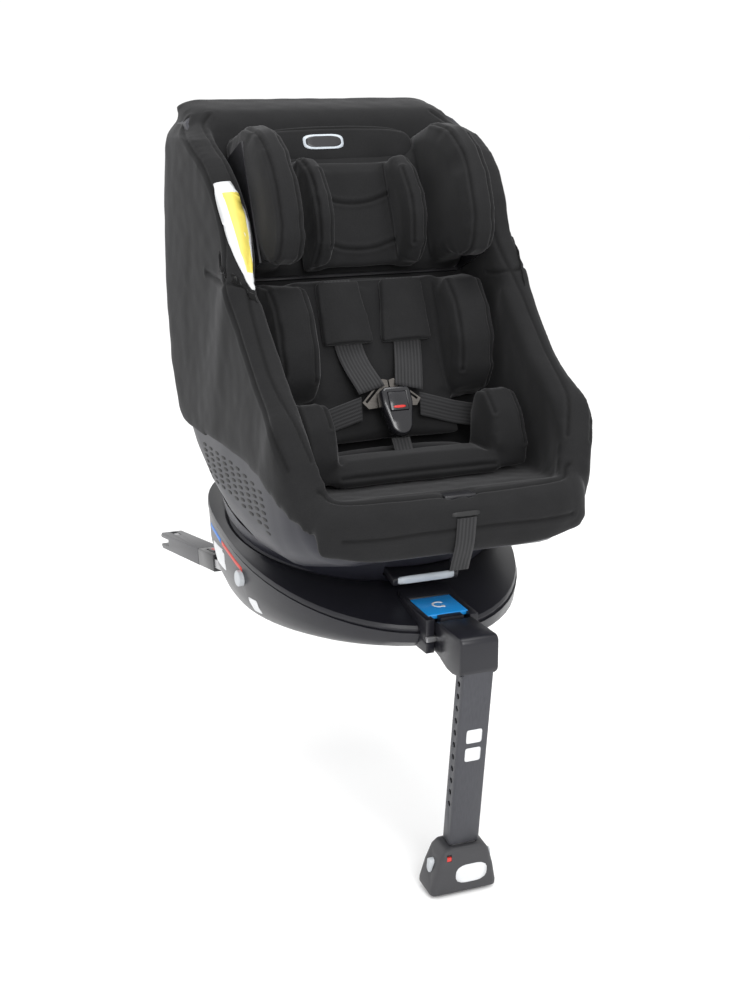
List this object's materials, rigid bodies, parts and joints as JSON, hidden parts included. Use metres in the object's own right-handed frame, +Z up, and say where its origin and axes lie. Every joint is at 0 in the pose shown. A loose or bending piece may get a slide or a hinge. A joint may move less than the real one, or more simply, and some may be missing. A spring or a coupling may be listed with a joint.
{
  "type": "convertible child car seat",
  "caption": "Rotating child car seat: padded bucket with headrest, insert and harness, on a rigid-anchor base with turntable, recline and folding support leg.",
  "frame": {"origin": "centre of the base's flat underside, straight below the turntable's centre, where the base lies on the vehicle seat", "axes": "+Z up, -Y towards the seat's front and the support leg, +Y along the anchor arms, +X to the seated child's left"},
  "size_m": [0.4144, 0.8188, 0.9373],
  "materials": {
    "base_black": "satin moulded, faint blue cast",
    "shell_slate": "satin slate grey",
    "grey_plastic": "satin mid grey",
    "foot_grey": "fine grained dark grey",
    "fabric_black": "soft charcoal knit over foam",
    "webbing_grey": "flat grey polyester webbing",
    "leg_steel": "grey powder coat",
    "steel": "zinc plated",
    "tongue_bronze": "dark bronze plated",
    "button_blue": "smooth blue",
    "button_grey": "light grey",
    "indicator_red": "red",
    "rubber_black": "matt black rubber"
  },
  "bodies": {
    "base": {"base_lower_shell": "base_black", "base_upper_shell": "base_black", "leg_bracket": "base_black", "turntable_pedestal": "base_black", "bearing_race": "steel", "leg_hinge_pin": "steel"},
    "rotation_button": {"rotation_button": "button_blue"},
    "rotation_lock_pin": {"rotation_lock_pin": "steel"},
    "leg": {"leg_head": "base_black", "leg_outer_tube": "leg_steel"},
    "leg_lower": {"leg_inner_tube": "steel", "foot_housing": "foot_grey"},
    "foot_sole": {"foot_sole": "rubber_black"},
    "foot_indicator": {"foot_indicator": "indicator_red"},
    "turntable": {"turntable_carrier": "shell_slate"},
    "recline_handle": {"recline_handle": "base_black"},
    "seat": {"seat_shell": "shell_slate", "seat_cover": "fabric_black", "inner_shell": "base_black", "cover_front_panel": "fabric_black", "cover_top_panel": "fabric_black", "body_insert": "fabric_black", "seat_insert": "fabric_black", "buckle_housing": "base_black", "crotch_strap": "webbing_grey", "adjuster_strap": "webbing_grey", "adjuster_webbing": "webbing_grey", "harness_yoke": "steel", "shoulder_strap_left": "webbing_grey", "shoulder_strap_right": "webbing_grey", "shoulder_pad_left": "fabric_black", "shoulder_pad_right": "fabric_black", "lap_strap_left": "webbing_grey", "lap_strap_right": "webbing_grey", "buckle_tongue_left": "tongue_bronze", "buckle_tongue_right": "tongue_bronze"},
    "headrest": {"headrest_shell": "base_black", "headrest_cover": "fabric_black", "head_insert": "fabric_black"},
    "headrest_lever": {"headrest_lever": "grey_plastic"},
    "buckle_button": {"buckle_button": "base_black"},
    "harness_release_button": {"harness_release_button": "base_black"},
    "isofix_right": {"isofix_arm_right": "steel", "isofix_latch_housing_right": "base_black", "isofix_jaw_right": "grey_plastic"},
    "isofix_hook_right": {"isofix_hook_right": "steel"},
    "isofix_release_right": {"isofix_release_right": "grey_plastic"},
    "isofix_adjust_button_right": {"isofix_adjust_button_right": "button_grey"},
    "leg_lock_pin_right": {"leg_lock_pin_right": "steel"},
    "foot_button_right": {"foot_button_right": "button_grey"},
    "isofix_left": {"isofix_arm_left": "steel", "isofix_latch_housing_left": "base_black", "isofix_jaw_left": "grey_plastic"},
    "isofix_hook_left": {"isofix_hook_left": "steel"},
    "isofix_release_left": {"isofix_release_left": "grey_plastic"},
    "isofix_adjust_button_left": {"isofix_adjust_button_left": "button_grey"},
    "leg_lock_pin_left": {"leg_lock_pin_left": "steel"},
    "foot_button_left": {"foot_button_left": "button_grey"}
  },
  "joints": [
    {"name": "rotation_release", "type": "slide", "parent": "base", "child": "rotation_button", "axis": [0, 0, -1], "range_m": [0, 0.004], "stiffness_N_per_m": 600, "springref_m": -0.002},
    {"name": "rotation_pin_slide", "type": "slide", "parent": "base", "child": "rotation_lock_pin", "axis": [0, 0.2011, -0.9796], "range_m": [0, 0.004]},
    {"name": "leg_fold", "type": "hinge", "parent": "base", "child": "leg", "pos_m": [0, -0.288, 0.03], "axis": [1, 0, 0], "range_deg": [0, 82]},
    {"name": "leg_extend", "type": "slide", "parent": "leg", "child": "leg_lower", "axis": [0, 0.134, -0.991], "range_m": [0, 0.15]},
    {"name": "foot_press", "type": "slide", "parent": "leg_lower", "child": "foot_sole", "axis": [0, -0.134, 0.991], "range_m": [0, 0.003], "stiffness_N_per_m": 1500, "springref_m": -0.002},
    {"name": "foot_indicator_slide", "type": "slide", "parent": "leg_lower", "child": "foot_indicator", "axis": [0, -0.134, 0.991], "range_m": [0, 0.003]},
    {"name": "seat_rotation", "type": "hinge", "parent": "base", "child": "turntable", "pos_m": [0, 0, 0.105], "axis": [0, -0.2011, 0.9796], "continuous": true},
    {"name": "recline_pull", "type": "slide", "parent": "turntable", "child": "recline_handle", "axis": [0, -0.9796, -0.2011], "range_m": [0, 0.012], "stiffness_N_per_m": 400, "springref_m": -0.004},
    {"name": "seat_recline", "type": "hinge", "parent": "turntable", "child": "seat", "pos_m": [0, -0.12804, 0.60445], "axis": [-1, 0, 0], "range_deg": [0, 14]},
    {"name": "headrest_slide", "type": "slide", "parent": "seat", "child": "headrest", "axis": [0, 0.3987, 0.9171], "range_m": [0, 0.14]},
    {"name": "headrest_lever_pull", "type": "slide", "parent": "headrest", "child": "headrest_lever", "axis": [0, 0.3987, 0.9171], "range_m": [0, 0.008], "stiffness_N_per_m": 600, "springref_m": -0.003},
    {"name": "buckle_press", "type": "slide", "parent": "seat", "child": "buckle_button", "axis": [0, 0.8755, -0.4833], "range_m": [0, 0.0038], "stiffness_N_per_m": 2500, "springref_m": -0.002},
    {"name": "harness_release", "type": "slide", "parent": "seat", "child": "harness_release_button", "axis": [0, 0, -1], "range_m": [0, 0.004], "stiffness_N_per_m": 800, "springref_m": -0.002},
    {"name": "isofix_slide_right", "type": "slide", "parent": "base", "child": "isofix_right", "axis": [0, 0.9877, -0.1564], "range_m": [-0.085, 0]},
    {"name": "isofix_hook_turn_right", "type": "hinge", "parent": "isofix_right", "child": "isofix_hook_right", "pos_m": [-0.14, 0.42381, -0.02802], "axis": [1, 0, 0], "range_deg": [0, 60], "stiffness_Nm_per_rad": 0.02, "springref_deg": -34.38},
    {"name": "isofix_release_slide_right", "type": "slide", "parent": "isofix_right", "child": "isofix_release_right", "axis": [0, 0.9877, -0.1564], "range_m": [0, 0.008], "stiffness_N_per_m": 400, "springref_m": -0.003},
    {"name": "isofix_adjust_press_right", "type": "slide", "parent": "base", "child": "isofix_adjust_button_right", "axis": [1, 0, 0], "range_m": [0, 0.003], "stiffness_N_per_m": 600, "springref_m": -0.002},
    {"name": "foot_button_press_right", "type": "slide", "parent": "leg_lower", "child": "foot_button_right", "axis": [1, 0, 0], "range_m": [0, 0.004], "stiffness_N_per_m": 600, "springref_m": -0.002},
    {"name": "leg_pin_slide_right", "type": "slide", "parent": "leg_lower", "child": "leg_lock_pin_right", "axis": [1, 0, 0], "range_m": [0, 0.004]},
    {"name": "isofix_slide_left", "type": "slide", "parent": "base", "child": "isofix_left", "axis": [0, 0.9877, -0.1564], "range_m": [-0.085, 0]},
    {"name": "isofix_hook_turn_left", "type": "hinge", "parent": "isofix_left", "child": "isofix_hook_left", "pos_m": [0.14, 0.42381, -0.02802], "axis": [1, 0, 0], "range_deg": [0, 60], "stiffness_Nm_per_rad": 0.02, "springref_deg": -34.38},
    {"name": "isofix_release_slide_left", "type": "slide", "parent": "isofix_left", "child": "isofix_release_left", "axis": [0, 0.9877, -0.1564], "range_m": [0, 0.008], "stiffness_N_per_m": 400, "springref_m": -0.003},
    {"name": "isofix_adjust_press_left", "type": "slide", "parent": "base", "child": "isofix_adjust_button_left", "axis": [-1, 0, 0], "range_m": [0, 0.003], "stiffness_N_per_m": 600, "springref_m": -0.002},
    {"name": "foot_button_press_left", "type": "slide", "parent": "leg_lower", "child": "foot_button_left", "axis": [-1, 0, 0], "range_m": [0, 0.004], "stiffness_N_per_m": 600, "springref_m": -0.002},
    {"name": "leg_pin_slide_left", "type": "slide", "parent": "leg_lower", "child": "leg_lock_pin_left", "axis": [-1, 0, 0], "range_m": [0, 0.004]}
  ],
  "couplings": [
    {"joint": "rotation_pin_slide", "follows": "rotation_release", "ratio": 1},
    {"joint": "foot_indicator_slide", "follows": "foot_press", "ratio": 1},
    {"joint": "leg_pin_slide_right", "follows": "foot_button_press_right", "ratio": 1},
    {"joint": "leg_pin_slide_left", "follows": "foot_button_press_left", "ratio": 1}
  ]
}
